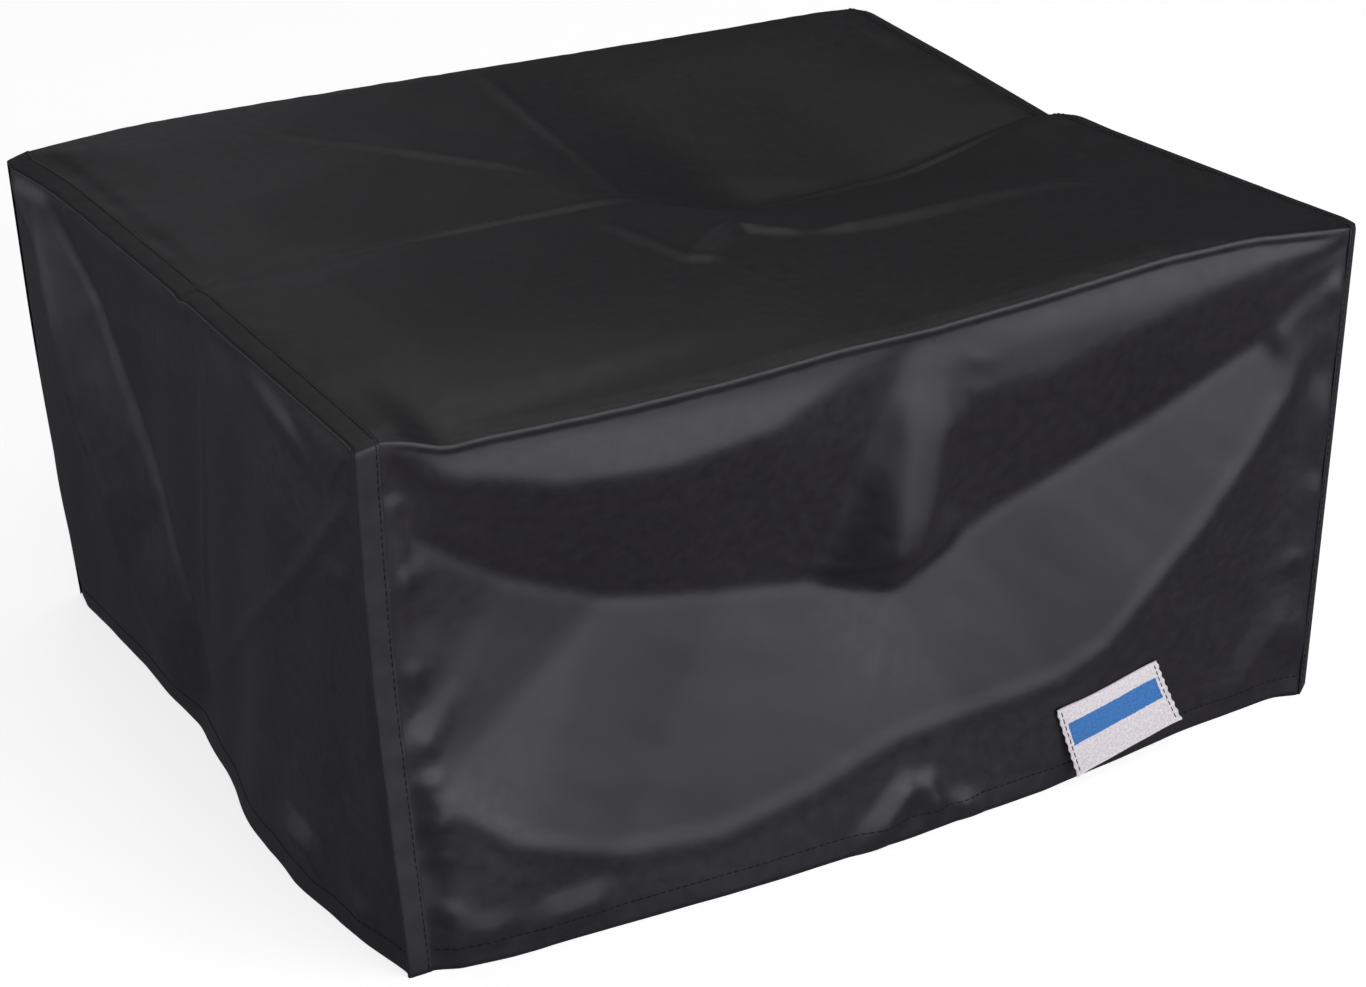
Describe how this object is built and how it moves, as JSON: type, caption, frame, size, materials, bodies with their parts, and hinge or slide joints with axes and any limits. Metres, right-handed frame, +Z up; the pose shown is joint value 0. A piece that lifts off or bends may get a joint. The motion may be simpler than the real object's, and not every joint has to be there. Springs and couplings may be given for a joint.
{
  "type": "printer dust cover",
  "caption": "Five-sided soft fabric cover, open at the bottom, with flat stitched seam strips, a turned-up hem and a small woven label.",
  "frame": {"origin": "middle of the hem's outline, on the surface that the cover stands on", "axes": "+X to the right of the cover, -Y to its front, where the label is, +Z up"},
  "size_m": [0.457, 0.394, 0.224],
  "materials": {
    "panel_nylon": "coated nylon with a satin sheen",
    "strip_nylon": "coated nylon, pressed flat",
    "thread": "polyester sewing thread",
    "woven_label": "woven, matt"
  },
  "bodies": {
    "skirt": {"front_panel": "panel_nylon", "back_panel": "panel_nylon", "left_gusset": "panel_nylon", "right_gusset": "panel_nylon", "front_hem": "panel_nylon", "back_hem": "panel_nylon", "left_hem": "panel_nylon", "right_hem": "panel_nylon", "left_front_strip": "strip_nylon", "left_back_strip": "strip_nylon", "right_front_strip": "strip_nylon", "right_back_strip": "strip_nylon", "left_front_strip_thread": "thread", "left_back_strip_thread": "thread", "right_front_strip_thread": "thread", "right_back_strip_thread": "thread", "front_hem_thread": "thread", "back_hem_thread": "thread", "left_hem_thread": "thread", "right_hem_thread": "thread", "label": "woven_label", "label_left_thread": "thread", "label_right_thread": "thread"},
    "crown": {"top_panel": "panel_nylon", "left_top_strip": "strip_nylon", "right_top_strip": "strip_nylon", "left_top_strip_thread": "thread", "right_top_strip_thread": "thread"}
  },
  "joints": [
    {"name": "collapse", "type": "slide", "parent": "skirt", "child": "crown", "axis": [0, 0, -1], "range_m": [0, 0.11], "deforming": ["front_panel", "back_panel", "left_gusset", "right_gusset", "left_front_strip", "left_back_strip", "right_front_strip", "right_back_strip", "left_front_strip_thread", "left_back_strip_thread", "right_front_strip_thread", "right_back_strip_thread"]}
  ]
}
